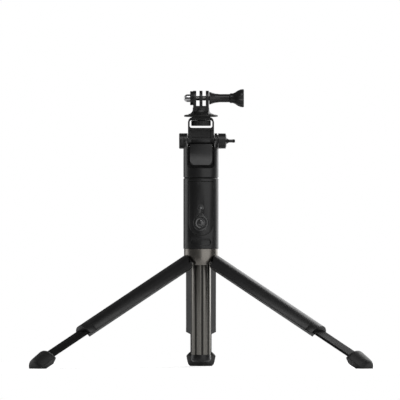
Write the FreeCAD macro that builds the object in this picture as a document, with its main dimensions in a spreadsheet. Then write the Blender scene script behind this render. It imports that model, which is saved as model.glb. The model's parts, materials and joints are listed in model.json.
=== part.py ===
import FreeCAD, Part
import os
import re
import Sketcher

# Selfie stick with a tripod grip. Millimetres, +Z up, floor at z = 0, pole on the Z axis, user's side at -Y.
# The legs are drawn open, as the stick stands. Three leg sectors close round the pole to make the lower grip.

SIZES = [
    ("grip_r", 17.6, "radius of the handle, of the head and of the folded legs"),
    ("tube_r", 9.9, "outer radius of the fixed pole tube"),
    ("tube_wall", 0.9, "wall of the fixed pole tube"),
    ("tube_low", 13, "lower end of the fixed tube"),
    ("tube_top", 188, "upper end of the fixed tube"),
    ("flute_r", 1.9, "radius of a flute along the tube"),
    ("flute_deep", 0.5, "depth of a flute"),
    ("cap_low", 6, "underside of the plug in the tube"),
    ("stage_r", 7.4, "outer radius of the first sliding stage"),
    ("stage_step", 1.2, "step in radius from stage to stage"),
    ("stage_wall", 0.6, "wall of a sliding stage"),
    ("stage_low", 21, "lower end of the sliding stages, pole closed"),
    ("bush_high", 8, "height of a pole bush"),
    ("slip", 0.05, "running clearance on a radius"),
    ("handle_low", 119, "lower end of the handle"),
    ("handle_top", 189.8, "upper end of the handle"),
    ("handle_wall", 2.2, "wall of the handle shells"),
    ("collar_low", 102.8, "lower end of the collar tongues"),
    ("collar_r", 17, "outer radius of the metal collar"),
    ("collar_wall", 1, "wall of the metal collar"),
    ("collar_edge", 112, "lower edge of the collar above a leg"),
    ("tongue_half", 6, "half width of a tongue at its tip"),
    ("tongue_high", 12, "height of the sloping tongue sides"),
    ("pivot_r", 13.8, "distance of a leg pin from the pole axis"),
    ("pivot_z", 110.4, "height of the leg pins"),
    ("pin_r", 1, "radius of a leg pin"),
    ("pin_half", 5.4, "half length of a leg pin"),
    ("lug_r", 1.8, "radius of the leg's lug and of the hub boss"),
    ("lug_half", 3, "half width of the leg's lug"),
    ("leg_angle", 60, "swing of a leg from folded to open, degrees"),
    ("leg_drop", 2.25, "leg end below its pin, leg folded"),
    ("leg_long", 140.6, "length of a leg shell"),
    ("leg_bore", 10.3, "inner radius of a leg shell"),
    ("leg_span", 118.6, "sector angle of a leg, degrees"),
    ("tip_long", 8, "length of the cap on a leg shell"),
    ("bar_in", 9, "underside of the leg bar from the pole axis, leg folded"),
    ("bar_thick", 2.4, "thickness of the leg bar"),
    ("bar_half", 10.7, "half width of the leg bar"),
    ("bar_start", 96, "upper end of the leg bar below its pin"),
    ("foot_start", 187.8, "upper end of a foot below its pin"),
    ("foot_end", 209.3, "tip of a foot below its pin"),
    ("remote_half", 12.5, "half width of the remote, and radius of its round end"),
    ("remote_mid", 144.8, "height of the centre of the round end and of the button"),
    ("remote_top", 186.2, "upper end of the remote"),
    ("remote_back", 10.25, "back of the remote from the pole axis"),
    ("remote_split", 12, "joint between the halves of the remote"),
    ("button_r", 5.8, "radius of the shutter button"),
    ("drop_sink", 0.35, "depth of the drop-shaped trim below the handle's surface"),
    ("lamp_z", 159.9, "height of the lamp in the remote"),
    ("head_low", 189.95, "underside of the head"),
    ("hinge_z", 226.8, "height of the tilt axis"),
    ("ear_r", 7.75, "radius of the head's ears"),
    ("ear_left", 17.6, "outer face of the left ear, from the middle"),
    ("ear_right", 16.2, "outer face of the right ear round the bolt, from the middle"),
    ("ear_in", 13.5, "inner face of an ear"),
    ("slot_low", 199.6, "floor of the slot between the ears"),
    ("bolt_r", 3, "radius of the tilt bolt"),
    ("arm_half", 13.05, "half width of the tilt arm"),
    ("arm_deep", 7, "half depth of the tilt arm at its window"),
    ("neck_deep", 5, "half depth of the tilt arm near the bolt"),
    ("barrel_r", 5.2, "radius of the arm's barrel"),
    ("arm_top", 250.8, "top of the tilt arm"),
    ("window_half", 11.3, "half width of the window in the arm"),
    ("window_low", 240, "sill of the window"),
    ("window_top", 247.5, "head of the window"),
    ("wheel_r", 9.8, "radius of the clamp wheel"),
    ("wheel_low", 241.9, "underside of the clamp wheel"),
    ("wheel_top", 247.4, "top of the clamp wheel"),
    ("stud_r", 3.1, "radius of the quarter-inch stud"),
    ("pad_r", 17, "radius of the rubber pad"),
    ("pad_top", 253.2, "top of the rubber pad"),
    ("fork_z", 269.6, "height of the fork's cross bore"),
    ("fork_r", 7.5, "radius of the prong ends"),
    ("fork_half", 7.85, "half width across the prongs"),
    ("fork_floor", 261.9, "floor of the gaps between prongs"),
    ("gap_mid", 3.15, "centre of a gap from the middle"),
    ("gap_wide", 3.2, "width of a gap"),
    ("screw_r", 2.5, "radius of the fork's thumb screw"),
]

NAMES = {name for name, _, _ in SIZES}
LEGS = {"left": 210, "right": 330, "rear": 90}
STAGES = 4
FLUTES = 9
FIRST_FLUTE = 277.6  # azimuth of the flute beside the middle of the front
FAR = 60  # reach of a cutting block, past anything it cuts
X_UP = FreeCAD.Rotation(FreeCAD.Vector(0, 1, 0), 90)
Y_UP = FreeCAD.Rotation(FreeCAD.Vector(1, 0, 0), -90)
FRONT = FreeCAD.Rotation(FreeCAD.Vector(1, 0, 0), 90)
FLAT = FreeCAD.Rotation()

doc = FreeCAD.newDocument("selfie_stick")
sheet = doc.addObject("Spreadsheet::Sheet", "Sizes")
for row, (name, value, note) in enumerate(SIZES, 1):
    sheet.set(f"A{row}", name)
    sheet.set(f"B{row}", str(value))
    sheet.set(f"C{row}", note)
    sheet.setAlias(f"B{row}", name)
doc.recompute()
parts = {}


# ---- small tools -------------------------------------------------------------------------------------------


def linked(text):
    """The expression with every sheet alias written as FreeCAD needs it."""
    def full(word):
        return "Sizes." + word.group() if word.group() in NAMES else word.group()
    return re.sub(r"[a-z][a-z0-9_]*", full, str(text))


def number(text):
    """The value of an expression, in millimetres or degrees."""
    value = sheet.evalExpression(linked(text))
    return float(getattr(value, "Value", value))


def place(thing, at, turn=FLAT):
    """Puts an object at a point given as three expressions, turned by a rotation."""
    thing.Placement = FreeCAD.Placement(FreeCAD.Vector(), turn)
    for axis, text in zip("xyz", at):
        thing.setExpression("Placement.Base." + axis, linked(text))
    return thing


def cylinder(radius, height, at=(0, 0, 0), turn=FLAT, angle=360):
    thing = doc.addObject("Part::Cylinder", "cylinder")
    thing.setExpression("Radius", linked(radius))
    thing.setExpression("Height", linked(height))
    thing.setExpression("Angle", linked(angle))
    return place(thing, at, turn)


def cross_bar(radius, start, end, z, y=0):
    """A cylinder along X, from start to end."""
    return cylinder(radius, f"({end}) - ({start})", (start, y, z), X_UP)


def block(x, y, z):
    """A box between two X, two Y and two Z values."""
    thing = doc.addObject("Part::Box", "block")
    for side, (low, high) in zip(("Length", "Width", "Height"), (x, y, z)):
        thing.setExpression(side, linked(f"({high}) - ({low})"))
    return place(thing, (x[0], y[0], z[0]))


def fuse(*things):
    thing = doc.addObject("Part::MultiFuse", "fuse")
    thing.Shapes = list(things)
    return thing


def common(*things):
    thing = doc.addObject("Part::MultiCommon", "common")
    thing.Shapes = list(things)
    return thing


def cut(base, *tools):
    thing = doc.addObject("Part::Cut", "cut")
    thing.Base = base
    thing.Tool = tools[0] if len(tools) == 1 else fuse(*tools)
    return thing


def group(*things):
    thing = doc.addObject("Part::Compound", "group")
    thing.Links = list(things)
    return thing


def node(name, thing):
    """Names a finished sub-part, which is what gets written."""
    thing.Label = name
    parts[name] = thing
    return thing


def outline(body, role, points):
    """A closed sketch through points given as pairs of expressions, every one bound to the sheet."""
    sketch = body.newObject("Sketcher::SketchObject", "outline")
    plane = [f for f in body.Origin.OriginFeatures if f.Role == role][0]
    sketch.AttachmentSupport = [(plane, "")]
    sketch.MapMode = "FlatFace"
    spots = [FreeCAD.Vector(number(u), number(v), 0) for u, v in points]
    last = len(points) - 1
    for i, spot in enumerate(spots):
        sketch.addGeometry(Part.LineSegment(spot, spots[i + 1 if i < last else 0]), False)
    for i in range(len(points)):
        sketch.addConstraint(Sketcher.Constraint("Coincident", i, 2, i + 1 if i < last else 0, 1))
    for i, point in enumerate(points):
        across = ("DistanceX", point[0], spots[i].x, -2)
        along = ("DistanceY", point[1], spots[i].y, -1)
        for kind, text, value, axis in (across, along):
            if abs(value) < 1e-9:
                sketch.addConstraint(Sketcher.Constraint("PointOnObject", i, 1, axis))
                continue
            index = sketch.addConstraint(Sketcher.Constraint(kind, -1, 1, i, 1, value))
            sketch.setExpression(f"Constraints[{index}]", linked(text))
    return sketch


def turned(points, about="V_Axis", at=(0, 0, 0), angle=360, turn=FLAT):
    """A body turned from a half section in the XZ plane, about Z (V_Axis) or about X (H_Axis)."""
    body = doc.addObject("PartDesign::Body", "turned")
    sketch = outline(body, "XZ_Plane", points)
    solid = body.newObject("PartDesign::Revolution", "revolution")
    solid.Profile = sketch
    solid.ReferenceAxis = (sketch, [about])
    solid.setExpression("Angle", linked(angle))
    solid.Midplane = True
    body.Tip = solid
    return place(body, at, turn)


def slab(points, role, thick, at=(0, 0, 0), turn=FLAT):
    """A body padded both ways from a plane of its origin."""
    body = doc.addObject("PartDesign::Body", "slab")
    sketch = outline(body, role, points)
    solid = body.newObject("PartDesign::Pad", "pad")
    solid.Profile = sketch
    solid.setExpression("Length", linked(thick))
    solid.Midplane = True
    body.Tip = solid
    return place(body, at, turn)


def ring(outer, inner, low, high):
    """A plain ring about the pole axis."""
    return turned([(inner, low), (outer, low), (outer, high), (inner, high)])


# ---- the pole ----------------------------------------------------------------------------------------------


def fixed_tube():
    """The fluted tube that the handle and the legs are built round."""
    wall = ring("tube_r", "tube_r - tube_wall", "tube_low", "tube_top")
    flutes = []
    for i in range(FLUTES):
        turn = FIRST_FLUTE + 360 / FLUTES * i
        reach = "(tube_r + flute_r - flute_deep)"
        spot = (f"{reach} * cos({turn} deg)", f"{reach} * sin({turn} deg)", "tube_low - 1")
        flutes.append(cylinder("flute_r", "tube_top - tube_low + 2", spot))
    node("outer_tube", cut(wall, *flutes))
    bore = "tube_r - tube_wall - slip"
    node("tube_end_cap", turned([
        (0, "cap_low"), ("tube_r - 1.8", "cap_low"), ("tube_r", "cap_low + 1.8"), ("tube_r", "tube_low"),
        (bore, "tube_low"), (bore, "tube_low + 7"), ("tube_r - 3", "tube_low + 7"),
        ("tube_r - 3", "cap_low + 2"), (0, "cap_low + 2")]))
    node("outer_mouth_bush", ring("tube_r - tube_wall", "stage_r + slip", "tube_top - bush_high", "tube_top"))


def stage_radius(i):
    return f"(stage_r - {i - 1} * stage_step)"


def sliding_stages():
    """Each stage slides in the one outside it, on a bush at its foot and a bush in the other's mouth."""
    for i in range(1, STAGES + 1):
        radius = stage_radius(i)
        top = f"tube_top + {0.4 * i}" if i < STAGES else "head_low + 7"
        node(f"pole_stage_{i}", ring(radius, f"{radius} - stage_wall", "stage_low", top))
        outside = "tube_r - tube_wall" if i == 1 else f"{stage_radius(i - 1)} - stage_wall"
        node(f"stage_{i}_foot_bush", ring(f"{outside} - slip", radius, "stage_low", "stage_low + bush_high"))
        if i < STAGES:
            mouth = ring(f"{radius} - stage_wall", f"{stage_radius(i + 1)} + slip", f"{top} - bush_high", top)
            node(f"stage_{i}_mouth_bush", mouth)


# ---- the handle --------------------------------------------------------------------------------------------


def capsule(grow, near, far):
    """The remote's outline, grown all round and standing from near to far in front of the pole axis."""
    half = f"(remote_half + {grow})"
    end = cylinder(half, f"{far} - ({near})", (0, f"-({near})", "remote_mid"), FRONT)
    body = block((f"-{half}", half), (f"-({far})", f"-({near})"), ("remote_mid", f"remote_top + {grow}"))
    return fuse(end, body)


def handle():
    """Two half shells round the fixed tube. The front one has the well for the remote."""
    bevel, lower_bevel, end_wall = 0.8, 0.3, 2.5
    inside = "grip_r - handle_wall"
    hull = [
        ("tube_r", "handle_low"), (f"grip_r - {lower_bevel}", "handle_low"),
        ("grip_r", f"handle_low + {lower_bevel}"),
        ("grip_r", f"handle_top - {bevel}"), (f"grip_r - {bevel}", "handle_top"), ("tube_r", "handle_top"),
        ("tube_r", f"handle_top - {end_wall}"), (inside, f"handle_top - {end_wall}"),
        (inside, f"handle_low + {end_wall}"), ("tube_r", f"handle_low + {end_wall}")]
    front = (-FAR, FAR), (-FAR, 0), (0, 300)
    rear = (-FAR, FAR), (0, FAR), (0, 300)
    post_x, post_z, post_r, screw_r = 12.6, "handle_low + 6.5", 2.2, 0.9
    front_posts = [cylinder(post_r, 9, (side * post_x, 0, post_z), FRONT) for side in (-1, 1)]
    rear_posts = [cylinder(post_r, 10, (side * post_x, 0, post_z), Y_UP) for side in (-1, 1)]
    front_holes = [cylinder(screw_r, 6, (side * post_x, 0, post_z), FRONT) for side in (-1, 1)]
    rear_holes = [cylinder(screw_r + 0.1, 20, (side * post_x, 0, post_z), Y_UP) for side in (-1, 1)]
    head_wells = [cylinder(1.8, 12, (side * post_x, 8.4, post_z), Y_UP) for side in (-1, 1)]
    inside_grip = cylinder("grip_r - 0.4", "handle_top - handle_low - 1", (0, 0, "handle_low + 0.5"))
    frame = common(capsule(1.5, "remote_back - 0.2", "grip_r"), inside_grip)
    scoop_z, scoop_r, scoop_x = "handle_low + 6.4", 3.3, 6.8
    scoop = common(ring("grip_r + 6", "grip_r - 1.4", "handle_low", "handle_low + 14"), fuse(
        block((-scoop_x, scoop_x), (-FAR, 0), (f"{scoop_z} - {scoop_r}", f"{scoop_z} + {scoop_r}")),
        *[cylinder(scoop_r, FAR, (side * scoop_x, 0, scoop_z), FRONT) for side in (-1, 1)]))
    shell = fuse(common(turned(hull), block(*front)), frame, *front_posts)
    well = capsule(0.15, "remote_back - 2", "grip_r + 3")
    node("handle_front_shell", cut(shell, well, scoop, *front_holes))
    inner = common(fuse(*rear_posts), cylinder("grip_r - 0.4", 100, (0, 0, "handle_low")))
    shell = fuse(common(turned(hull), block(*rear)), inner)
    node("handle_rear_shell", cut(shell, *rear_holes, *head_wells))
    screws = []
    for side in (-1, 1):
        shank = cylinder(screw_r, 13.6, (side * post_x, -5.2, post_z), Y_UP)
        head = cylinder(1.7, 1.3, (side * post_x, 8.4, post_z), Y_UP)
        cross = []
        for a, b in ((1.1, 0.2), (0.2, 1.1)):
            wide = side * post_x - a, side * post_x + a
            cross.append(block(wide, (9.1, 9.8), (f"{post_z} - {b}", f"{post_z} + {b}")))
        screws.append(cut(fuse(shank, head), *cross))
    node("handle_screws", group(*screws))


def remote():
    """The detachable shutter remote, with its board, cell, lamp, button and drop-shaped trim."""
    loose, wall, lamp_hole_r = -0.15, 1.4, 1.3
    top = "handle_low"
    face = common(capsule(loose, "remote_split", "grip_r + 2"), cylinder("grip_r + 0.2", 90, (0, 0, top)))
    room = cylinder("grip_r - 1.9", 90, (0, 0, top))
    hollow = common(capsule(loose - wall, "remote_split - 1", "grip_r"), room)
    seat = common(drop_prism(), outside_of("grip_r - drop_sink - 0.8"))
    hole = cylinder("button_r + 0.15", 12, (0, -10, "remote_mid"), FRONT)
    lamp_hole = cylinder(lamp_hole_r, 12, (0, -10, "lamp_z"), FRONT)
    node("remote_front_case", cut(face, hollow, seat, hole, lamp_hole))
    back = cut(capsule(loose, "remote_back", "remote_split"),
               capsule(loose - wall, "remote_back + 1", "remote_split + 1"))
    node("remote_back_case", back)
    skin = ring("grip_r - drop_sink", "grip_r - drop_sink - 0.8", "handle_low", "handle_top")
    trim_holes = [cylinder("button_r + 0.15", 12, (0, -10, "remote_mid"), FRONT),
                  cylinder(lamp_hole_r, 12, (0, -10, "lamp_z"), FRONT)]
    node("remote_trim", cut(common(drop_prism(), skin), *trim_holes))
    board_front = "-(remote_split + 0.4)"
    board = block((-8.5, 8.5), (board_front, "-(remote_split - 0.4)"), ("remote_mid - 6", "remote_top - 4"))
    node("remote_board", board)
    node("remote_cell", cylinder(7, 1.6, (0, board_front, "remote_top - 14"), FRONT))
    node("remote_switch", fuse(
        block((-2.6, 2.6), ("-(remote_split + 1.5)", board_front), ("remote_mid - 2.6", "remote_mid + 2.6")),
        cylinder(1.5, 1.6, (0, board_front, "remote_mid"), FRONT)))
    lamp = cylinder(1.2, "grip_r - remote_split", (0, board_front, "lamp_z"), FRONT)
    node("remote_lamp", cut(lamp, outside_of("grip_r - drop_sink + 0.15")))
    disc, dome = "(grip_r - 1)", 3.5
    node("shutter_button", turned([
        (0, "grip_r - 2.9"), ("button_r", "grip_r - 2.9"), ("button_r", f"{disc} - 0.3"),
        ("button_r - 0.3", disc),
        (f"{dome} + 0.5", f"{disc} - 0.2"), (dome, f"{disc} - 0.1"), (f"{dome} * 0.93", f"{disc} + 0.5"),
        (f"{dome} * 0.75", f"{disc} + 1"), (f"{dome} * 0.4", f"{disc} + 1.4"), (0, f"{disc} + 1.5")],
        at=(0, 0, "remote_mid"), turn=FRONT))


def outside_of(radius):
    """A thick ring that is everything outside a radius at the height of the remote."""
    return ring("grip_r + 8", radius, "handle_low", "handle_top")


def drop_prism():
    """The drop shape round the button and the lamp, as a prism towards the front."""
    front = 12
    big = cylinder(7.7, front, (0, -10, "remote_mid"), FRONT)
    small = cylinder(3.2, front, (0, -10, "lamp_z"), FRONT)
    neck = block((-4.7, 4.7), (-10 - front, -10), ("remote_mid + 2", "lamp_z"))
    waists = [cylinder(5, front + 2, (side * 6.8, -9, "lamp_z - 3.9"), FRONT) for side in (-1, 1)]
    return fuse(big, small, cut(neck, *waists))


# ---- the leg hub -------------------------------------------------------------------------------------------


def tongue(grow, azimuth):
    """A prism that narrows downwards, pointing from the pole axis at an azimuth: the gap between two legs."""
    wedge = doc.addObject("Part::Wedge", "tongue")
    low, high = f"(tongue_half + {grow})", f"(tongue_half + {grow} + tongue_high)"
    sizes = {
        "Xmin": f"-{low}", "Xmax": low, "X2min": f"-{high}", "X2max": high,
        "Ymin": 0, "Ymax": "tongue_high", "Zmin": 0, "Zmax": 40, "Z2min": 0, "Z2max": 40}
    for name, text in sizes.items():
        wedge.setExpression(name, linked(text))
    swing = FreeCAD.Rotation(FreeCAD.Vector(0, 0, 1), azimuth + 90)
    return place(wedge, (0, 0, f"collar_low - {grow}"), swing.multiply(FRONT))


def round_pole(thing, azimuth):
    """A copy of an object turned about the pole axis, still linked to it."""
    turned_copy = doc.addObject("Part::Compound", "turned_copy")
    turned_copy.Links = [thing]
    turned_copy.Placement = FreeCAD.Placement(
        FreeCAD.Vector(), FreeCAD.Rotation(FreeCAD.Vector(0, 0, 1), azimuth))
    return turned_copy


def hub():
    """The part that carries the leg pins, and the metal collar that hides it."""
    between = [azimuth + 60 for azimuth in LEGS.values()]
    inner = "collar_r - collar_wall"
    slot_top = "pivot_z + lug_r + 0.6"
    lug_room = "-(lug_half + 0.3)", "lug_half + 0.3"
    way = block(("tube_r + 1.2", 20), lug_room, ("collar_low - 2", slot_top))
    notch = block(("tube_r + 1.2", 20), lug_room, ("collar_low - 2", "collar_edge"))
    rim = ring("collar_r", inner, "collar_edge", "handle_low")
    below_rim = ring("collar_r", inner, "collar_low", "collar_edge + 1")
    tongues = common(fuse(*[tongue(0, a) for a in between]), below_rim)
    node("leg_collar", cut(fuse(rim, tongues), *[round_pole(notch, a) for a in LEGS.values()]))
    core = ring(f"{inner} - slip", "tube_r", "pivot_z", "handle_low")
    backing = common(
        fuse(*[tongue(0, a) for a in between]),
        ring(f"{inner} - slip", "tube_r", "collar_low", "pivot_z + 1"))
    boss = cylinder("lug_r - 0.05", "2 * pin_half", ("pivot_r", "-pin_half", "pivot_z"), Y_UP)
    bosses = fuse(*[round_pole(boss, a) for a in LEGS.values()])
    bosses = common(bosses, cylinder(f"{inner} - slip", 20, (0, 0, "pivot_z - 10")))
    hole = cylinder("pin_r", "2 * pin_half", ("pivot_r", "-pin_half", "pivot_z"), Y_UP)
    cuts = [round_pole(fuse(way, hole), a) for a in LEGS.values()]
    node("leg_hub", cut(fuse(core, backing, bosses), *cuts))
    pins = []
    for azimuth in LEGS.values():
        pin = cylinder("pin_r", "2 * pin_half", ("pivot_r", "-pin_half", "pivot_z"), Y_UP)
        pins.append(round_pole(pin, azimuth))
    node("leg_pins", group(*pins))


# ---- the legs ----------------------------------------------------------------------------------------------
# A leg is drawn folded, with its pin at the origin, its length down -Z and the pole axis at x = -pivot_r.


def sector(radius, start, end, span="leg_span"):
    """A pie slice about the pole axis, between two distances below the pin."""
    turn = FreeCAD.Rotation(FreeCAD.Vector(0, 0, 1), -number(span) / 2)
    return cylinder(radius, f"({end}) - ({start})", ("-pivot_r", 0, f"-({end})"), turn, span)


def bore(radius, start, end):
    """A round bore about the pole axis, for the pole to lie in."""
    return cylinder(radius, f"({end}) - ({start})", ("-pivot_r", 0, f"-({end})"))


def from_pole(low, high):
    """Two distances from the pole axis as X values of a leg."""
    return f"{low} - pivot_r", f"{high} - pivot_r"


def neighbour_gaps():
    """Room for the collar's tongues at the top of a leg."""
    gaps = []
    for azimuth in (-60, 60):
        prism = tongue(0.4, azimuth)
        moved = doc.addObject("Part::Compound", "gap")
        moved.Links = [prism]
        gaps.append(place(moved, ("-pivot_r", 0, "-pivot_z")))
    return gaps


def leg_shell():
    end = "leg_drop + leg_long - tip_long"
    body = sector("grip_r", "leg_drop", end)
    channel = block(from_pole("bar_in - 0.15", "bar_in + bar_thick + 0.15"),
                    ("-bar_half - 0.2", "bar_half + 0.2"), (f"-({end}) - 1", -16))
    hollow = common(bore("grip_r - 2.2", 16, f"{end} + 1"),
                    block(from_pole("bar_in + bar_thick", "grip_r"), (-8.8, 8.8), (f"-({end}) - 1", -16)))
    lug = fuse(cylinder("lug_r", "2 * lug_half", (0, "-lug_half", 0), Y_UP),
               block(("-lug_r", "lug_r"), ("-lug_half", "lug_half"), (-8, 0)))
    pin_hole = cylinder("pin_r + slip", 20, (0, -10, 0), Y_UP)
    shaped = cut(body, bore("leg_bore", 0, f"{end} + 1"), channel, hollow, *neighbour_gaps())
    return cut(fuse(shaped, lug), pin_hole)


def leg_tip():
    """The cap on the end of a shell. Its tighter window guides the bar."""
    start, end = "leg_drop + leg_long - tip_long", "leg_drop + leg_long"
    window = block(from_pole("bar_in - 0.05", "bar_in + bar_thick + 0.05"),
                   ("-bar_half - 0.05", "bar_half + 0.05"), (f"-({end}) - 1", f"-({start}) + 1"))
    above_bar = from_pole("bar_in + bar_thick + 0.2", "grip_r")
    spigot = common(
        bore("grip_r - 2.3", f"{start} - 4", start),
        block(above_bar, (-8.7, 8.7), (f"-({start})", f"-({start}) + 4")))
    return cut(fuse(sector("grip_r", start, end), spigot), bore("leg_bore", 0, f"{end} + 1"), window)


def leg_bar():
    bar = block(from_pole("bar_in", "bar_in + bar_thick"), ("-bar_half", "bar_half"),
                ("-(foot_start + 6)", "-bar_start"))
    return cut(bar, bore("leg_bore + 0.15", "bar_start - 1", "foot_start + 8"))


def bar_stop():
    """A nylon shoe riveted on the inner end of the bar."""
    shoe = block(from_pole("bar_in + bar_thick", "grip_r - 3.2"), (-6.5, 6.5),
                 ("-(bar_start + 9)", "-bar_start"))
    return common(shoe, bore("grip_r - 2.6", "bar_start - 1", "bar_start + 10"))


def sole_block():
    """Everything below the floor, seen from an open leg."""
    below = doc.addObject("Part::Box", "below_floor")
    below.Length, below.Width, below.Height = 6 * FAR, 4 * FAR, FAR
    level = FreeCAD.Rotation(FreeCAD.Vector(0, 1, 0), number("leg_angle"))
    corner = level.multVec(FreeCAD.Vector(-FAR, -2 * FAR, -number("pivot_z") - FAR))
    below.Placement = FreeCAD.Placement(corner, level)
    return below


def foot():
    """A third of a rounded boot. The floor cuts the sole."""
    boot = turned([
        (0.4, "-foot_start"), ("grip_r - 5", "-foot_start"), ("grip_r - 3", "-(foot_start + 0.4)"),
        ("grip_r - 1.4", "-(foot_start + 1.4)"), ("grip_r - 0.5", "-(foot_start + 2.8)"),
        ("grip_r - 0.2", "-(foot_start + 4.6)"), ("grip_r - 1.5", "-(foot_end - 6.3)"),
        ("grip_r - 2.1", "-(foot_end - 3.3)"), ("grip_r - 3", "-(foot_end - 1.5)"),
        ("grip_r - 4.6", "-(foot_end - 0.4)"), ("grip_r - 6.2", "-foot_end"), (0.4, "-foot_end")],
        at=("-pivot_r", 0, 0), angle="leg_span - 0.6")
    window = block(from_pole("bar_in", "bar_in + bar_thick"), ("-bar_half", "bar_half"),
                   ("-(foot_start + 6)", "-foot_start + 1"))
    groove = bore("leg_bore + 0.15", "foot_start - 1", "foot_start + 6")
    socket = cut(window, groove)
    return cut(boot, sole_block(), socket)


def legs():
    for make in (leg_shell, leg_tip, leg_bar, bar_stop, foot):
        piece = make.__name__
        pattern = make()
        for side, azimuth in LEGS.items():
            leg = doc.addObject("Part::Compound", piece)
            leg.Links = [pattern]
            swing = FreeCAD.Rotation(FreeCAD.Vector(0, 0, 1), azimuth)
            opened = FreeCAD.Rotation(FreeCAD.Vector(0, 1, 0), -number("leg_angle"))
            spot = (f"pivot_r * cos({azimuth} deg)", f"pivot_r * sin({azimuth} deg)", "pivot_z")
            node(f"{piece}_{side}", place(leg, spot, swing.multiply(opened)))


# ---- the head ----------------------------------------------------------------------------------------------


def yoke():
    """The block on the last stage, with two ears for the tilt bolt."""
    body = turned([
        (0, "head_low"), ("grip_r - 0.8", "head_low"), ("grip_r", "head_low + 0.8"), ("grip_r", "hinge_z"),
        (0, "hinge_z")])
    side_view = slab([
        ("-grip_r", "head_low"), ("grip_r", "head_low"), ("grip_r", "slot_low + 3"), ("ear_r", "hinge_z"),
        ("-ear_r", "hinge_z"), ("-grip_r", "slot_low + 3")], "YZ_Plane", 40)
    ears = cross_bar("ear_r", "-ear_left", "ear_left", "hinge_z")
    step = cross_bar("ear_r + 0.4", "ear_right", 30, "hinge_z")
    corner = 4
    slot = fuse(
        block(("-ear_in", "ear_in"), (-FAR, FAR), (f"slot_low + {corner}", 300)),
        block((f"-(ear_in - {corner})", f"ear_in - {corner}"), (-FAR, FAR), ("slot_low", 300)),
        *[cylinder(corner, 2 * FAR, (f"{side} * (ear_in - {corner})", FAR, f"slot_low + {corner}"), FRONT)
          for side in (-1, 1)])
    wall = block(("-ear_in - 1", "ear_in + 1"), (3, 7), ("slot_low - 1", "hinge_z - barrel_r - 0.1"))
    socket = cylinder(stage_radius(STAGES), 7, (0, 0, "head_low"))
    holes = cross_bar("bolt_r + slip", -30, 30, "hinge_z")
    node("head_yoke", cut(fuse(cut(fuse(common(body, side_view), ears), slot), wall), socket, holes, step))
    corner, low, top, half = 3, "slot_low + 3.1", "hinge_z - 3", "(ear_in - 2.3)"
    plate = fuse(
        block((f"-{half}", half), (-17, 3), (f"{low} + {corner}", top)),
        block((f"-({half} - {corner})", f"{half} - {corner}"), (-17, 3), (low, top)),
        *[cylinder(corner, 20, (f"{side} * ({half} - {corner})", 3, f"{low} + {corner}"), FRONT)
          for side in (-1, 1)])
    dish_r, dish_y = 40, -49
    dish = cross_bar(dish_r, -30, 30, "hinge_z - 2.8", dish_y)
    barrel_room = fuse(cross_bar("barrel_r + 1.2", -30, 30, "hinge_z"),
                       block((-30, 30), (-4.6, 10), ("hinge_z - barrel_r - 0.5", "hinge_z + 1")))
    plate = common(plate, cylinder("grip_r - 0.6", 60, (0, 0, "head_low")))
    node("yoke_inlay", cut(plate, dish, barrel_room))


def tilt_bolt():
    head, washer_r = 4.4, 6.2
    node("tilt_bolt", turned([
        ("-ear_left - 3.2", 0), ("-ear_left - 3.2", head), ("-ear_left", head), ("-ear_left", "bolt_r"),
        ("ear_right + 7.1", "bolt_r"), ("ear_right + 7.1", 0)], "H_Axis", (0, 0, "hinge_z")))
    node("tilt_bolt_cap", turned([
        ("-ear_left - 4.3", 0), ("-ear_left - 4.3", "ear_r - 0.6"), ("-ear_left - 3.7", "ear_r"),
        ("-ear_left", "ear_r"), ("-ear_left", head + 0.1), ("-ear_left - 3.3", head + 0.1),
        ("-ear_left - 3.3", 0)],
        "H_Axis", (0, 0, "hinge_z")))
    node("tilt_washer", turned([
        ("ear_right", "bolt_r + slip"), ("ear_right", washer_r), ("ear_right + 0.9", washer_r),
        ("ear_right + 0.9", "bolt_r + slip")], "H_Axis", (0, 0, "hinge_z")))


def tilt_knob():
    """The clamp knob on the bolt, with a flat wing to turn it by."""
    inner, outer, nut_r = "ear_right + 0.95", "ear_right + 9.2", 4.6
    body = turned([
        (inner, "bolt_r + 0.2"), (inner, "ear_r - 0.1"), (f"{outer} - 0.8", "ear_r - 0.2"),
        (outer, "ear_r - 2.4"), (f"{outer} + 0.1", 3.1), (f"{outer} + 2.6", 1.5), (f"{outer} + 2.6", 0),
        ("ear_right + 7.2", 0), ("ear_right + 7.2", nut_r), ("ear_right + 2", nut_r),
        ("ear_right + 2", "bolt_r + 0.2")], "H_Axis", (0, 0, "hinge_z"))
    wing = slab([
        (f"{outer} - 0.4", -6.2), (f"{outer} + 3", -6.6), (f"{outer} + 6.5", -6), (f"{outer} + 8.6", -4),
        (f"{outer} + 8.6", 4), (f"{outer} + 6.5", 6), (f"{outer} + 3", 6.6), (f"{outer} - 0.4", 6.2)],
        "XY_Plane", 3, (0, 0, "hinge_z"))
    bead = cylinder(1.75, 8, (f"{outer} + 6.9", -4, "hinge_z"), Y_UP)
    node("tilt_knob", fuse(body, wing, bead))
    node("knob_nut", turned([
        ("ear_right + 2", "bolt_r + slip"), ("ear_right + 2", nut_r), ("ear_right + 7.2", nut_r),
        ("ear_right + 7.2", "bolt_r + slip")], "H_Axis", (0, 0, "hinge_z")))


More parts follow.
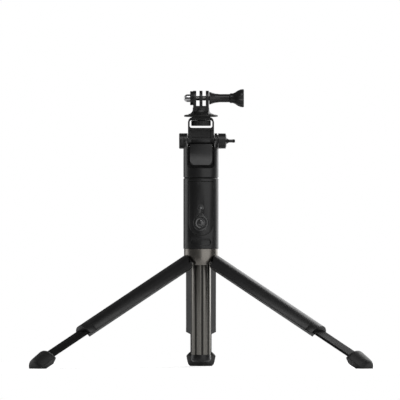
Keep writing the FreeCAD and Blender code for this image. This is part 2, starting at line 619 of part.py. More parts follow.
def tilt_arm():
    """The loop that tilts between the ears, with a window for the clamp wheel."""
    front_view = slab([
        ("-arm_half", "hinge_z"), ("arm_half", "hinge_z"), ("arm_half", "arm_top - 5"),
        ("arm_half - 0.7", "arm_top - 2.6"), ("arm_half - 2", "arm_top - 1"), ("arm_half - 4", "arm_top"),
        ("-arm_half + 4", "arm_top"), ("-arm_half + 2", "arm_top - 1"), ("-arm_half + 0.7", "arm_top - 2.6"),
        ("-arm_half", "arm_top - 5")], "XZ_Plane", 40)
    side_view = slab([
        ("-neck_deep", "hinge_z"), ("neck_deep", "hinge_z"), ("neck_deep", "window_low - 4.4"),
        ("arm_deep", "window_low - 2"), ("arm_deep", "arm_top"), ("-arm_deep", "arm_top"),
        ("-arm_deep", "window_low - 2"), ("-neck_deep", "window_low - 4.4")], "YZ_Plane", 60)
    reach = "(ear_in - 0.08)"
    barrel = fuse(
        cross_bar("barrel_r", f"-{reach}", reach, "hinge_z"),
        *[cross_bar("barrel_r + 0.7", start, end, "hinge_z")
          for start, end in ((f"-{reach}", "-arm_half + 1"), ("arm_half - 1", reach))])
    corner = 2
    window = fuse(
        block(("-window_half", "window_half"), (-20, 20),
              (f"window_low + {corner}", f"window_top - {corner}")),
        block((f"-(window_half - {corner})", f"window_half - {corner}"), (-20, 20),
              ("window_low", "window_top")),
        *[cylinder(corner, 40, (f"{side} * (window_half - {corner})", 20, z), FRONT)
          for side in (-1, 1) for z in (f"window_low + {corner}", f"window_top - {corner}")])
    panel_back, panel_half = "neck_deep - 1.6", 9.8
    panels = [block((-panel_half, panel_half), y, ("hinge_z + 3", "window_low - 2"))
              for y in ((-20, f"-({panel_back})"), (panel_back, 20))]
    panel = block((-panel_half, panel_half), (f"-({panel_back})", panel_back), ("hinge_z", "window_low"))
    grooves = [cut(cross_bar(9, x, f"{x} + 0.7", "hinge_z"),
                   cross_bar("barrel_r - 0.5", x, f"{x} + 0.7", "hinge_z"))
               for x in (-9.8, 9.1)]
    below = block((-20, 20), (-20, 20), ("hinge_z - 10", "hinge_z + 3"))
    grooves = [common(groove, below) for groove in grooves]
    stud_hole = cylinder("stud_r + 0.1", 20, (0, 0, "window_low + 1"))
    bush_seat = cross_bar("bolt_r + 1.2", f"-{reach}", reach, "hinge_z")
    loop = fuse(cut(common(front_view, side_view), *panels), panel, barrel)
    node("tilt_arm", cut(loop, window, *grooves, stud_hole, bush_seat))
    node("tilt_bush", cut(cross_bar("bolt_r + 1.2", "-arm_half", "arm_half", "hinge_z"),
                          cross_bar("bolt_r + slip", "-arm_half - 1", "arm_half + 1", "hinge_z")))


def clamp_wheel():
    """The knurled wheel in the window and the stud that it turns."""
    knurls, knurl_r = 40, 0.42
    wheel = turned([
        ("stud_r", "wheel_low"), ("wheel_r - 0.5", "wheel_low"), ("wheel_r", "wheel_low + 0.5"),
        ("wheel_r", "wheel_top - 0.5"), ("wheel_r - 0.5", "wheel_top"), ("stud_r", "wheel_top")])
    notches = [cylinder(knurl_r, 8, (f"(wheel_r + 0.12) * cos({360 / knurls * i} deg)",
                                  f"(wheel_r + 0.12) * sin({360 / knurls * i} deg)", "wheel_low - 1"))
               for i in range(knurls)]
    node("clamp_wheel", cut(wheel, *notches))
    node("camera_stud", turned([
        (0, "wheel_low"), ("stud_r", "wheel_low"), ("stud_r", "pad_top + 4.4"),
        ("stud_r - 0.6", "pad_top + 5"),
        (0, "pad_top + 5")]))


def fork():
    """The pad and the three-prong camera fork that the stud holds down."""
    node("rubber_pad", turned([
        ("stud_r + 0.3", "arm_top"), ("pad_r - 3", "arm_top"), ("pad_r - 0.3", "arm_top + 0.3"),
        ("pad_r", "arm_top + 1"), ("pad_r", "pad_top - 0.9"), ("pad_r - 0.8", "pad_top - 0.3"),
        ("pad_r - 3", "pad_top"), ("stud_r + 0.3", "pad_top")]))
    foot_curve = [
        (12.6, 0), (12.6, 0.6), (11.2, 0.9), (10.2, 1.5), (9.4, 2.3), (8.7, 3.4), (8.3, 4.6), (8.3, 7)]
    base = turned([(0, "pad_top")] + [(r, f"pad_top + {z}") for r, z in foot_curve] + [(0, "pad_top + 7")])
    neck = block(("-fork_half", "fork_half"), ("-fork_r", "fork_r"), ("pad_top + 3", "fork_z"))
    tips = cross_bar("fork_r", "-fork_half", "fork_half", "fork_z")
    nut_boss = cross_bar("fork_r - 0.5", "-fork_half - 3", "-fork_half", "fork_z")
    gaps = [block((f"{side} * gap_mid - gap_wide / 2", f"{side} * gap_mid + gap_wide / 2"), (-20, 20),
                  ("fork_floor", "fork_z + 20")) for side in (-1, 1)]
    cross_bore = cross_bar("screw_r + 0.1", -20, 20, "fork_z")
    nut_seat = hexagon("-fork_half - 3.1", "-fork_half - 0.1", 4.7)
    insert_r, insert_high = 4.8, 6
    insert_seat = cylinder(insert_r, insert_high, (0, 0, "pad_top"))
    node("camera_fork", cut(fuse(base, neck, tips, nut_boss), *gaps, cross_bore, nut_seat, insert_seat))
    node("fork_insert", ring(insert_r, "stud_r + 0.1", "pad_top", f"pad_top + {insert_high}"))
    dome = turned([
        ("-fork_half - 9.2", 0), ("-fork_half - 9", 1.4), ("-fork_half - 8.2", 2.8), ("-fork_half - 7", 3.7),
        ("-fork_half - 5.6", 3.9), ("-fork_half - 2.9", 3.9), ("-fork_half - 2.9", 0)],
        "H_Axis", (0, 0, "fork_z"))
    nut = fuse(hexagon("-fork_half - 3.1", "-fork_half - 0.1", 4.6), dome)
    node("dome_nut", cut(nut, cross_bar("screw_r + slip", "-fork_half - 6.5", 0, "fork_z")))


def hexagon(start, end, across_corners):
    """A hexagonal prism along X on the fork's bore."""
    cos_30 = 0.866025
    half, rise = across_corners / 2, across_corners * cos_30
    upper = [(across_corners, 0), (half, rise), (-half, rise)]
    points = upper + [(-y, -z) for y, z in upper]
    middle = f"(({start}) + ({end})) / 2"
    points = [(f"{y}", f"{z}") for y, z in points]
    return slab(points, "YZ_Plane", f"({end}) - ({start})", (middle, 0, "fork_z"))


def thumb_screw():
    """The long-handled screw through the fork."""
    node("thumb_screw_shank", turned([
        ("-fork_half - 5.8", 0), ("-fork_half - 5.8", "screw_r - 0.5"), ("-fork_half - 5.3", "screw_r"),
        ("fork_half + 18", "screw_r"), ("fork_half + 18", 0)], "H_Axis", (0, 0, "fork_z")))
    start, tip = "fork_half + 0.3", 42.9
    grip = turned([
        (start, "screw_r"), (start, 6.2), ("fork_half + 1.6", 6.2), ("fork_half + 3.6", 5.4),
        ("fork_half + 6.5", 4.6), ("fork_half + 11", 4.1), (28.5, 4.1), (29.3, 4.9), (32, 4.9),
        (34, 5.8), (36.5, 7.5), (39.5, 8.8),
        (42, 9.1), (tip, 8.7), (tip, 6.4), (41.7, 5.6), (41.7, 0), ("fork_half + 18", 0),
        ("fork_half + 18", "screw_r")],
        "H_Axis", (0, 0, "fork_z"))
    lobes, lobe_cut_r, lobe_cut_at = 6, 3.6, 11.2
    scallops = []
    for i in range(lobes):
        turn = 360 / lobes * i
        spot = 33.4, f"{lobe_cut_at} * cos({turn} deg)", f"fork_z + {lobe_cut_at} * sin({turn} deg)"
        scallops.append(cylinder(lobe_cut_r, 16, spot, X_UP))
    node("thumb_screw_grip", cut(grip, *scallops))


# ---- build and write ---------------------------------------------------------------------------------------


def check():
    """Stops on a failed object or a sub-part that is not a sound solid."""
    failed = [o.Label for o in doc.Objects if {"Invalid", "Error"} & set(o.State)]
    for name, thing in parts.items():
        shape = thing.Shape
        sound = not shape.isNull() and shape.isValid() and shape.Solids
        if not sound or min(solid.Volume for solid in shape.Solids) <= 0:
            failed.append(name)
    if failed:
        raise RuntimeError("failed objects: " + ", ".join(failed))


for build in (fixed_tube, sliding_stages, handle, remote, hub, legs, yoke, tilt_bolt, tilt_knob, tilt_arm,
              clamp_wheel, fork, thumb_screw):
    build()
doc.recompute()
check()
os.makedirs("parts", exist_ok=True)
for name, thing in parts.items():
    thing.Shape.exportStep(f"parts/{name}.step")
print(len(parts), "sub-parts written")
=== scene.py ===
"""Looks of the selfie stick: materials, softened edges, threads, feet, light and camera."""

import json
import math

import bmesh
import bpy
from mathutils import Matrix, Vector


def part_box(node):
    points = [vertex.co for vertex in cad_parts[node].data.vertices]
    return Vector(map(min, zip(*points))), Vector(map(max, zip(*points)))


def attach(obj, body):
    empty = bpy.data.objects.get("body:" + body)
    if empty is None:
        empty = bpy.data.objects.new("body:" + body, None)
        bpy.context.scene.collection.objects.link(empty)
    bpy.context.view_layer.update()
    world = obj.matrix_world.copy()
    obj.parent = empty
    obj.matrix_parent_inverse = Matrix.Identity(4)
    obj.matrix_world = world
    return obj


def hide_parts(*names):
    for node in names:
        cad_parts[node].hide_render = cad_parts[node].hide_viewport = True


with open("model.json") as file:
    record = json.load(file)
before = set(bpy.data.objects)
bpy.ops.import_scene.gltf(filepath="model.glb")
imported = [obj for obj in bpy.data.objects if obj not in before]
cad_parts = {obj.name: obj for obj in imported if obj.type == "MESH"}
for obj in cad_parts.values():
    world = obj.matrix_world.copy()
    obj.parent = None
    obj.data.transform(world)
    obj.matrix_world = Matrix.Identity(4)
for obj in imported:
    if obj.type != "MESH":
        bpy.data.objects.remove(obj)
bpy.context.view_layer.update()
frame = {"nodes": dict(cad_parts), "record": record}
nodes = frame["nodes"]
MM = 0.001


# ---- shader nodes --------------------------------------------------------------------------------------


def add(tree, kind, **values):
    """A new shader node. Each value goes to the input of that name or, if there is none, to the setting."""
    node = tree.nodes.new(kind)
    for key, value in values.items():
        if key in node.inputs:
            node.inputs[key].default_value = value
        else:
            setattr(node, key, value)
    return node


def noise(tree, place, **values):
    """A noise texture's value at each place."""
    node = add(tree, "ShaderNodeTexNoise", **values)
    tree.links.new(place, node.inputs["Vector"])
    return node.outputs["Fac"]


def ramp(tree, value, start, end, first=0.0, last=1.0):
    """A value that goes from first to last as the given one goes from start to end."""
    limits = {"From Min": start, "From Max": end, "To Min": first, "To Max": last}
    node = add(tree, "ShaderNodeMapRange", **limits)
    tree.links.new(value, node.inputs["Value"])
    return node.outputs["Result"]


def worked_out(tree, operation, first, second):
    """The sum or product of a socket and a second socket or number."""
    node = add(tree, "ShaderNodeMath", operation=operation)
    tree.links.new(first, node.inputs[0])
    if isinstance(second, (int, float)):
        node.inputs[1].default_value = second
    else:
        tree.links.new(second, node.inputs[1])
    return node.outputs["Value"]


def mixed(tree, amount, under, over):
    """One colour laid over another by an amount. Each is a socket or a red, green and blue."""
    node = add(tree, "ShaderNodeMix", data_type="RGBA")
    factor, under_slot, over_slot, result = 0, 6, 7, 2
    for slot, colour in ((under_slot, under), (over_slot, over)):
        if isinstance(colour, tuple):
            node.inputs[slot].default_value = (*colour, 1)
        else:
            tree.links.new(colour, node.inputs[slot])
    tree.links.new(amount, node.inputs[factor])
    return node.outputs[result]


def edges(tree, rounded):
    """1 where the rounded normal leaves the true one, which is at an edge."""
    start, full = 0.995, 0.9  # cosines of the angle between the two
    geometry = add(tree, "ShaderNodeNewGeometry")
    dot = add(tree, "ShaderNodeVectorMath", operation="DOT_PRODUCT")
    tree.links.new(rounded, dot.inputs[0])
    tree.links.new(geometry.outputs["Normal"], dot.inputs[1])
    return ramp(tree, dot.outputs["Value"], start, full)


def settled(tree, scuffs, dust):
    """Patchy dust on faces that look up."""
    start, level = 0.2, 1.0  # how far up a face looks where dust starts, and where it is full
    geometry = add(tree, "ShaderNodeNewGeometry")
    facing = add(tree, "ShaderNodeSeparateXYZ")
    tree.links.new(geometry.outputs["Normal"], facing.inputs[0])
    return worked_out(tree, "MULTIPLY", ramp(tree, facing.outputs["Z"], start, level, 0.0, dust), scuffs)


def flute_shade(tree, place, top):
    """Painted shade: how far down in a flute a place is, as the amount its colour is darkened, on a tube on
    the Z axis whose lands are at radius top.
    """
    start, bottom, most = 0.04 * MM, 0.16 * MM, 0.88
    flat = add(tree, "ShaderNodeVectorMath", operation="MULTIPLY")
    flat.inputs[1].default_value = (1, 1, 0)
    tree.links.new(place, flat.inputs[0])
    radius = add(tree, "ShaderNodeVectorMath", operation="LENGTH")
    tree.links.new(flat.outputs["Vector"], radius.inputs[0])
    return ramp(tree, radius.outputs["Value"], top - start, top - bottom, 0.0, most)


# ---- materials -----------------------------------------------------------------------------------------


def grey(value):
    return (value, value, value)


DUST = (0.32, 0.3, 0.28)
# painted shade laid into the grooves of the fluted tube
FLUTE_SHADE = (0.02, 0.02, 0.019)
BROAD_SCALE, SCUFF_SCALE = 55, 620  # noise cells to a metre
RUBBED = (0.5, 0.72)                # the scuff noise where rubbing starts, and where it is full
UNEVEN = (0.3, 0.7)                 # the noise where roughness is lowest, and where it is highest
EDGE_ROUNDING = 0.4 * MM
GRAIN_DEPTH = 0.06 * MM
COAT_ROUGHNESS = 0.15


def material(name, colour, rough, metal=0.0, grain=1800, bump=0.25, vary=0.1, tint=0.18, wear=0.5,
             worn=grey(0.22), stretch=(1, 1, 1), specular=0.5, coat=0.0, dust=0.0, shaded_flute_top=0.0):
    """A surface with grain, uneven roughness, a little colour drift and rubbed edges.

    Given the lands' radius of a tube on the Z axis, the grooves between its lands get painted shade, darker
    than the lands.
    """
    made = bpy.data.materials.new(name)
    made.use_nodes = True
    tree = made.node_tree
    join = tree.links.new
    shader = tree.nodes["Principled BSDF"]

    place = add(tree, "ShaderNodeTexCoord").outputs["Object"]
    scaled = add(tree, "ShaderNodeMapping", Scale=stretch)
    join(place, scaled.inputs["Vector"])
    fine = noise(tree, scaled.outputs["Vector"], Scale=grain, Detail=4, Roughness=0.6)
    broad = noise(tree, place, Scale=BROAD_SCALE, Detail=5, Roughness=0.62)
    scuffs = noise(tree, place, Scale=SCUFF_SCALE, Detail=8, Roughness=0.7, Distortion=0.3)
    rounded = add(tree, "ShaderNodeBevel", samples=4, Radius=EDGE_ROUNDING).outputs["Normal"]

    darker = tuple(c * (1 - tint) for c in colour)
    paler = tuple(min(1, c * (1 + tint) + 0.002) for c in colour)
    shade = mixed(tree, broad, darker, paler)
    patchy_edges = worked_out(tree, "MULTIPLY", edges(tree, rounded), ramp(tree, scuffs, *RUBBED))
    shade = mixed(tree, worked_out(tree, "MULTIPLY", patchy_edges, wear), shade, worn)
    if dust:
        shade = mixed(tree, settled(tree, scuffs, dust), shade, DUST)
    # painted shade: the tube's grooves are darkened below its lands
    if shaded_flute_top:
        shade = mixed(tree, flute_shade(tree, place, shaded_flute_top), shade, FLUTE_SHADE)
    join(shade, shader.inputs["Base Color"])

    average = worked_out(tree, "MULTIPLY", worked_out(tree, "ADD", broad, fine), 0.5)
    join(ramp(tree, average, *UNEVEN, rough - vary, rough + vary), shader.inputs["Roughness"])
    relief = add(tree, "ShaderNodeBump", Strength=bump, Distance=GRAIN_DEPTH)
    join(fine, relief.inputs["Height"])
    join(rounded, relief.inputs["Normal"])
    join(relief.outputs["Normal"], shader.inputs["Normal"])
    shader.inputs["Metallic"].default_value = metal
    shader.inputs["Specular IOR Level"].default_value = specular
    shader.inputs["Coat Weight"].default_value = coat
    shader.inputs["Coat Roughness"].default_value = COAT_ROUGHNESS
    return made


MOULDED = dict(dust=0.012, wear=0.3, worn=grey(0.06))
BRUSHED = dict(rough=0.3, metal=1.0, grain=2600, bump=0.08)
ALONG_Z, ROUND_Z = (1, 1, 0.02), (0.02, 0.02, 1)
LOOKS = {
    "black_plastic": dict(MOULDED, colour=(0.0085, 0.0085, 0.009), rough=0.36, bump=0.12),
    "leg_plastic": dict(MOULDED, colour=(0.0075, 0.0075, 0.008), rough=0.4, bump=0.14),
    "gun_metal": dict(BRUSHED, colour=(0.21, 0.2, 0.185), stretch=ALONG_Z, tint=0.08, worn=(0.4, 0.39, 0.37)),
    "bar_metal": dict(colour=grey(0.012), rough=0.68, grain=2400, bump=0.12, tint=0.1, worn=grey(0.14),
                      specular=0.1),
    "stage_metal": dict(BRUSHED, colour=(0.34, 0.33, 0.32), rough=0.28, stretch=ALONG_Z, worn=grey(0.7)),
    "rubber": dict(colour=grey(0.009), rough=0.52, bump=0.3, wear=0.15, worn=grey(0.04), specular=0.4,
                   dust=0.03),
    "nylon": dict(colour=grey(0.03), rough=0.45, bump=0.12, wear=0.3),
    "steel": dict(BRUSHED, colour=(0.45, 0.45, 0.44), rough=0.26, grain=2400, worn=grey(0.65)),
    "bright_nut": dict(colour=(0.6, 0.6, 0.61), rough=0.12, metal=1.0, grain=900, bump=0.03, vary=0.04,
                       worn=grey(0.7)),
    "brass": dict(colour=(0.62, 0.42, 0.16), rough=0.3, metal=1.0, bump=0.1, worn=(0.8, 0.6, 0.3)),
    "trim": dict(colour=(0.022, 0.022, 0.0225), rough=0.24, bump=0.08, coat=0.5, wear=0.3, worn=grey(0.08)),
    "button": dict(colour=(0.02, 0.02, 0.021), rough=0.2, bump=0.04, coat=0.7, specular=0.9, wear=0.3,
                   worn=grey(0.1)),
    "board": dict(colour=(0.01, 0.09, 0.03), rough=0.4, bump=0.1),
    "lamp": dict(colour=(0.16, 0.162, 0.165), rough=0.3, bump=0.04, coat=0.2),
    "bead": dict(colour=(0.05, 0.05, 0.051), rough=0.22, bump=0.03, coat=0.7, wear=0.3, worn=grey(0.12)),
    "collar": dict(BRUSHED, colour=(0.24, 0.225, 0.205), stretch=ROUND_Z, tint=0.08, worn=(0.45, 0.44, 0.42)),
    # the tube's grooves get painted shade
    "tube": dict(BRUSHED, colour=(0.25, 0.24, 0.22), stretch=ALONG_Z, tint=0.08, worn=(0.4, 0.39, 0.37),
                 shaded_flute_top=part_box("outer_tube")[1][1]),
}
FINISH = {name: material(name, **look) for name, look in LOOKS.items()}
OWN_FINISH = {"leg_collar": "collar", "outer_tube": "tube"}


# ---- pieces --------------------------------------------------------------------------------------------


WELD_GAP = 0.002 * MM  # the split edges of an imported node lie closer than this
HARD_ANGLE = 32
THREAD_ANGLE = 50
FOOT_ANGLE = 60


def wear_finish(obj, name):
    obj.data.materials.clear()
    obj.data.materials.append(FINISH[name])


def sharp_by_angle(obj, degrees=HARD_ANGLE):
    """Smooth shading, with hard edges kept where the faces meet at more than an angle."""
    obj.data.shade_smooth()
    obj.data.set_sharp_from_angle(angle=math.radians(degrees))


def weld(obj):
    obj.modifiers.new("weld", "WELD").merge_threshold = WELD_GAP


def soften(obj, width, segments):
    """Welds the split edges of an imported node and rounds its corners."""
    weld(obj)
    bevel = obj.modifiers.new("bevel", "BEVEL")
    bevel.width = width
    bevel.segments = segments
    bevel.limit_method = "ANGLE"
    bevel.angle_limit = math.radians(HARD_ANGLE)
    bevel.use_clamp_overlap = True
    bevel.miter_outer = "MITER_ARC"


SLOT_OF = {row["node"]: row["material_slot"] for row in frame["record"]["subparts"]}
ROUNDING = {"head_yoke": 0.7, "yoke_inlay": 0.6, "tilt_arm": 0.35, "camera_fork": 0.35,
            "remote_front_case": 0.35, "tilt_knob": 0.35, "tilt_bolt_cap": 0.4, "shutter_button": 0.15}
USUAL_ROUNDING, WIDE_ROUNDING = 0.2, 0.5
for name, obj in nodes.items():
    wear_finish(obj, OWN_FINISH.get(name, SLOT_OF[name]))
    width = ROUNDING.get(name, USUAL_ROUNDING)
    soften(obj, width * MM, segments=4 if width > WIDE_ROUNDING else 2)


def middle(node):
    """The centre of a CAD node's box."""
    lowest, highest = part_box(node)
    return (Vector(lowest) + Vector(highest)) / 2


def mesh_from(made, name):
    mesh = bpy.data.meshes.new(name)
    made.to_mesh(mesh)
    made.free()
    return mesh


def skin(made, rows, closed):
    """Faces from each ring of vertices to the next and, if closed, from the last to the first."""
    following = rows[1:] + rows[:1] if closed else rows[1:]
    for row, after in zip(rows, following):
        for j in range(len(row)):
            k = (j + 1) % len(row)
            made.faces.new((row[j], row[k], after[k], after[j]))


def piece(mesh, name, finish, body):
    """A finished piece made from a mesh and riding on a body."""
    obj = bpy.data.objects.new(name, mesh)
    bpy.context.scene.collection.objects.link(obj)
    wear_finish(obj, finish)
    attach(obj, body)
    return obj


def stand_in(mesh, name, body, node, degrees):
    """A piece in place of a CAD node."""
    obj = piece(mesh, name, SLOT_OF[node], body)
    sharp_by_angle(obj, degrees)
    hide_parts(node)


def rod(radius_at, length, steps, spots=48):
    """A closed bar along Z. radius_at gives its radius at a height and an angle."""
    made = bmesh.new()
    rows = []
    for i in range(steps + 1):
        z = length * i / steps
        row = []
        for j in range(spots):
            turn = 2 * math.pi * j / spots
            radius = radius_at(z, turn)
            row.append(made.verts.new((radius * math.cos(turn), radius * math.sin(turn), z)))
        rows.append(row)
    skin(made, rows, closed=False)
    made.faces.new(reversed(rows[0]))
    made.faces.new(rows[-1])
    return mesh_from(made, "rod")


def thread(radius, pitch, length, plain, lead):
    """The radius of a screw: plain at first, then a V thread, with tapered ends."""
    depth, crest_width, taper_slope = 0.54 * pitch, 1.25, 0.8

    def radius_at(z, turn):
        phase = (z / pitch - turn / (2 * math.pi)) % 1
        crest = min(1, crest_width * abs(2 * phase - 1))
        rise = min(1, max(0, (z - plain) / pitch))
        cut = depth * (1 - crest) * rise
        taper = max(0, lead - z, z - (length - lead))
        return radius - max(cut, taper_slope * taper)
    return radius_at


def camera_stud():
    """The quarter-inch stud, threaded above the wheel."""
    pitch, lead = 1.27 * MM, 0.6 * MM
    lowest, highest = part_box("camera_stud")
    radius, length = (highest[0] - lowest[0]) / 2, highest[2] - lowest[2]
    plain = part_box("clamp_wheel")[1][2] - lowest[2]
    mesh = rod(thread(radius, pitch, length, plain, lead), length, 120)
    mesh.transform(Matrix.Translation(Vector((*middle("camera_stud").xy, lowest[2]))))
    stand_in(mesh, "camera_stud_threaded", "wheel", "camera_stud", THREAD_ANGLE)


def thumb_shank():
    """The thumb screw's shank, threaded along the whole of its length."""
    pitch, plain, lead = 0.8 * MM, 0, 0.5 * MM
    lowest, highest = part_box("thumb_screw_shank")
    radius, length = (highest[2] - lowest[2]) / 2, highest[0] - lowest[0]
    mesh = rod(thread(radius, pitch, length, plain, lead), length, 300)
    centre = middle("thumb_screw_shank")
    along_x = Matrix.Rotation(math.radians(90), 4, "Y")
    mesh.transform(Matrix.Translation((lowest[0], centre.y, centre.z)) @ along_x)
    stand_in(mesh, "thumb_screw_shank_threaded", "thumb_screw", "thumb_screw_shank", THREAD_ANGLE)


def applied(obj):
    """The mesh that an object's modifiers give, as a mesh of its own. The object is removed."""
    graph = bpy.context.evaluated_depsgraph_get()
    mesh = bpy.data.meshes.new_from_object(obj.evaluated_get(graph))
    bpy.data.objects.remove(obj)
    return mesh


def groove_bars(lowest, highest, count, deep):
    """Bars across the sole, to be cut out of it as tread."""
    overhang, groove = 2 * MM, 0.9 * MM
    made = bmesh.new()
    middle_x, wide = (lowest[0] + highest[0]) / 2, highest[0] - lowest[0]
    step = (highest[1] - lowest[1]) / (count + 1)
    size = Matrix.Diagonal((wide + overhang, groove, 2 * deep, 1))
    for i in range(count):
        place = Matrix.Translation((middle_x, lowest[1] + step * (i + 1), 0))
        bmesh.ops.create_cube(made, size=1, matrix=place @ size)
    return bpy.data.objects.new("groove_bars", mesh_from(made, "groove_bars"))


def moulded_feet():
    """Rubber boots with soft edges and a grooved sole. The rear one is made, and turned for the others."""
    grooves, groove_deep = 12, 0.7 * MM
    rough = bpy.data.objects.new("rough_foot", nodes["foot_rear"].data.copy())
    bars = groove_bars(*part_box("foot_rear"), grooves, groove_deep)
    for obj in (rough, bars):
        bpy.context.scene.collection.objects.link(obj)
    weld(rough)
    tread = rough.modifiers.new("tread", "BOOLEAN")
    tread.operation = "DIFFERENCE"
    tread.solver = "EXACT"
    tread.object = bars
    remesh = rough.modifiers.new("remesh", "REMESH")
    remesh.mode = "VOXEL"
    remesh.voxel_size = 0.3 * MM
    smooth = rough.modifiers.new("smooth", "SMOOTH")
    smooth.factor = 0.5
    smooth.iterations = 5
    mesh = applied(rough)
    bpy.data.objects.remove(bars)
    for side, turn in (("rear", 0), ("left", 120), ("right", 240)):
        turned_mesh = mesh.copy()
        turned_mesh.transform(Matrix.Rotation(math.radians(turn), 4, "Z"))
        stand_in(turned_mesh, f"foot_{side}_moulded", f"foot_{side}", f"foot_{side}", FOOT_ANGLE)


def drop_half_width(z, big_r, big_z, small_r, small_z):
    """Half the width of the drop-shaped trim at a height: two circles joined by a waisted neck."""
    waist_x, waist_z, waist_r, neck = 6.8 * MM, small_z - 3.9 * MM, 5 * MM, 4.7 * MM
    widths = [0]
    for radius, centre in ((big_r, big_z), (small_r, small_z)):
        widths.append(math.sqrt(max(0, radius ** 2 - (z - centre) ** 2)))
    if big_z < z < small_z:
        inward = math.sqrt(max(0, waist_r ** 2 - (z - waist_z) ** 2))
        widths.append(min(neck, waist_x - inward) if abs(z - waist_z) < waist_r else neck)
    return max(widths)


def drop_path(steps):
    """Points round the drop-shaped trim, just proud of its surface."""
    lowest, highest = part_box("remote_trim")
    big_r, small_r, proud = highest[0], 3.2 * MM, 0.12 * MM
    big_z, small_z = lowest[2] + big_r, highest[2] - small_r
    surface = -lowest[1] + proud
    right = []
    for i in range(steps + 1):
        z = lowest[2] + (highest[2] - lowest[2]) * (1 - math.cos(math.pi * i / steps)) / 2
        right.append((drop_half_width(z, big_r, big_z, small_r, small_z), z))
    outline = right + [(-x, z) for x, z in reversed(right[1:-1])]
    return [Vector((x, -math.sqrt(surface ** 2 - x ** 2), z)) for x, z in outline]


def drop_bead():
    """A fine raised bead round the drop-shaped trim."""
    thick, spots = 0.32 * MM, 10
    path = drop_path(60)
    made = bmesh.new()
    rows = []
    for i, point in enumerate(path):
        along = (path[(i + 1) % len(path)] - path[i - 1]).normalized()
        out = Vector((point.x, point.y, 0)).normalized()
        side = along.cross(out).normalized()
        row = []
        for j in range(spots):
            turn = 2 * math.pi * j / spots
            row.append(made.verts.new(point + thick * (math.cos(turn) * out + math.sin(turn) * side)))
        rows.append(row)
    skin(made, rows, closed=True)
    bmesh.ops.recalc_face_normals(made, faces=made.faces)
    obj = piece(mesh_from(made, "drop_bead"), "drop_bead", "bead", "remote")
    obj.data.shade_smooth()


def lathe(profile, spots=96):
    """A closed ring turned about the Z axis from (radius, height) points."""
    made = bmesh.new()
    rows = []
    for i in range(spots):
        turn = 2 * math.pi * i / spots
        rows.append([made.verts.new((r * math.cos(turn), r * math.sin(turn), z)) for r, z in profile])
    skin(made, rows, closed=True)
    bmesh.ops.recalc_face_normals(made, faces=made.faces)
    return mesh_from(made, "lathe")


def head_seal():
    """The thin dust seal between the head and the handle."""
    gap, lip = 0.02 * MM, 0.1 * MM
    under = max(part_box("handle_front_shell")[1][2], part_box("outer_mouth_bush")[1][2]) + gap
    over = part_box("head_yoke")[0][2] - gap
    inner, outer = 7.6 * MM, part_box("head_yoke")[1][0] - 1.2 * MM
    outside = [(outer - lip, under), (outer, (under + over) / 2), (outer - lip, over)]
    mesh = lathe([(inner, under), *outside, (inner, over)])
    sharp_by_angle(piece(mesh, "head_seal", "rubber", "head"))


camera_stud()
thumb_shank()
moulded_feet()
drop_bead()
head_seal()


# ---- light and camera ----------------------------------------------------------------------------------


SEEN_LIGHT, ROOM_LIGHT = 1.0, 0.1    # what the camera sees of the white surroundings, and what they cast
FLOOR_SEEN, FLOOR_CAST = 0.57, 0.05  # the glow that only the camera sees on the floor, and the one it casts
FLOOR_RADIUS = 0.6
AIM = (0, 0, 0.16)
PICTURE_WIDTH = 0.4                  # what the picture spans at the pole
SENSOR = 36
LENS = 1600                          # near the longest that a view fitted to the object can hold in its clip
CLIP_END = 60
CAMERA_X, CAMERA_HEIGHT = -0.001, 0.1678


def surroundings():
    """White for the camera, and a weak even light for everything else."""
    world = bpy.data.worlds.new("studio")
    bpy.context.scene.world = world
    world.use_nodes = True
    tree = world.node_tree
    tree.nodes.clear()
    mix = add(tree, "ShaderNodeMixShader")
    tree.links.new(add(tree, "ShaderNodeLightPath").outputs["Is Camera Ray"], mix.inputs[0])
    for slot, strength in ((1, ROOM_LIGHT), (2, SEEN_LIGHT)):
        light = add(tree, "ShaderNodeBackground", Color=(1, 1, 1, 1), Strength=strength)
        tree.links.new(light.outputs[0], mix.inputs[slot])
    out = add(tree, "ShaderNodeOutputWorld")
    tree.links.new(mix.outputs[0], out.inputs[0])


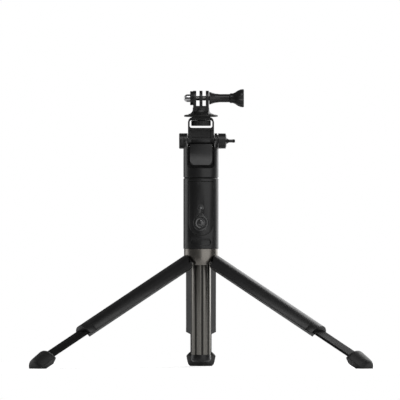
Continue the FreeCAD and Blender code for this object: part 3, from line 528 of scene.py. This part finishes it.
def softbox(name, spot, size, power):
    """A rectangular lamp that looks at the middle of the object."""
    light = bpy.data.lights.new(name, "AREA")
    light.shape = "RECTANGLE"
    light.size, light.size_y = size
    light.energy = power
    obj = bpy.data.objects.new(name, light)
    bpy.context.scene.collection.objects.link(obj)
    obj.location = spot
    obj.rotation_euler = (Vector(AIM) - Vector(spot)).to_track_quat("-Z", "Y").to_euler()


def round_the_object(azimuth, distance, height):
    """A spot at an azimuth from the front, positive to the right."""
    turn = math.radians(azimuth)
    return distance * math.sin(turn), -distance * math.cos(turn), height


def pale_floor():
    bpy.ops.mesh.primitive_circle_add(vertices=96, radius=FLOOR_RADIUS, fill_type="NGON", location=(0, 0, 0))
    floor = bpy.context.object
    floor.name = "floor"
    pale = bpy.data.materials.new("pale_floor")
    pale.use_nodes = True
    tree = pale.node_tree
    shader = tree.nodes["Principled BSDF"]
    shader.inputs["Base Color"].default_value = (0.9, 0.9, 0.9, 1)
    shader.inputs["Roughness"].default_value = 0.7
    shader.inputs["Emission Color"].default_value = (1, 1, 1, 1)
    glow = add(tree, "ShaderNodeMath", operation="MULTIPLY_ADD")
    glow.inputs[1].default_value = FLOOR_SEEN
    glow.inputs[2].default_value = FLOOR_CAST
    tree.links.new(add(tree, "ShaderNodeLightPath").outputs["Is Camera Ray"], glow.inputs[0])
    tree.links.new(glow.outputs["Value"], shader.inputs["Emission Strength"])
    floor.data.materials.append(pale)


def front_camera():
    lens = bpy.data.cameras.new("camera")
    lens.sensor_width = SENSOR
    lens.lens = LENS
    lens.clip_end = CLIP_END
    camera = bpy.data.objects.new("camera", lens)
    bpy.context.scene.collection.objects.link(camera)
    camera.location = (CAMERA_X, -PICTURE_WIDTH * LENS / SENSOR, CAMERA_HEIGHT)
    camera.rotation_euler = (math.radians(90), 0, 0)
    bpy.context.scene.camera = camera


surroundings()
softbox("key", round_the_object(37, 1.6, 0.3), (2.2, 1.4), 9)
softbox("left_strip", round_the_object(-117, 1.3, 0.3), (0.7, 1.5), 4)
softbox("right_strip", round_the_object(148, 1.3, 0.45), (1.3, 1.5), 11)
softbox("front_top", (0.1, -1.0, 1.35), (1.3, 0.7), 6.5)
softbox("back_top", (0.8, 0.9, 1.0), (0.8, 0.8), 4)
pale_floor()
front_camera()
bpy.context.scene.view_settings.view_transform = "Standard"
bpy.context.scene.view_settings.look = "None"
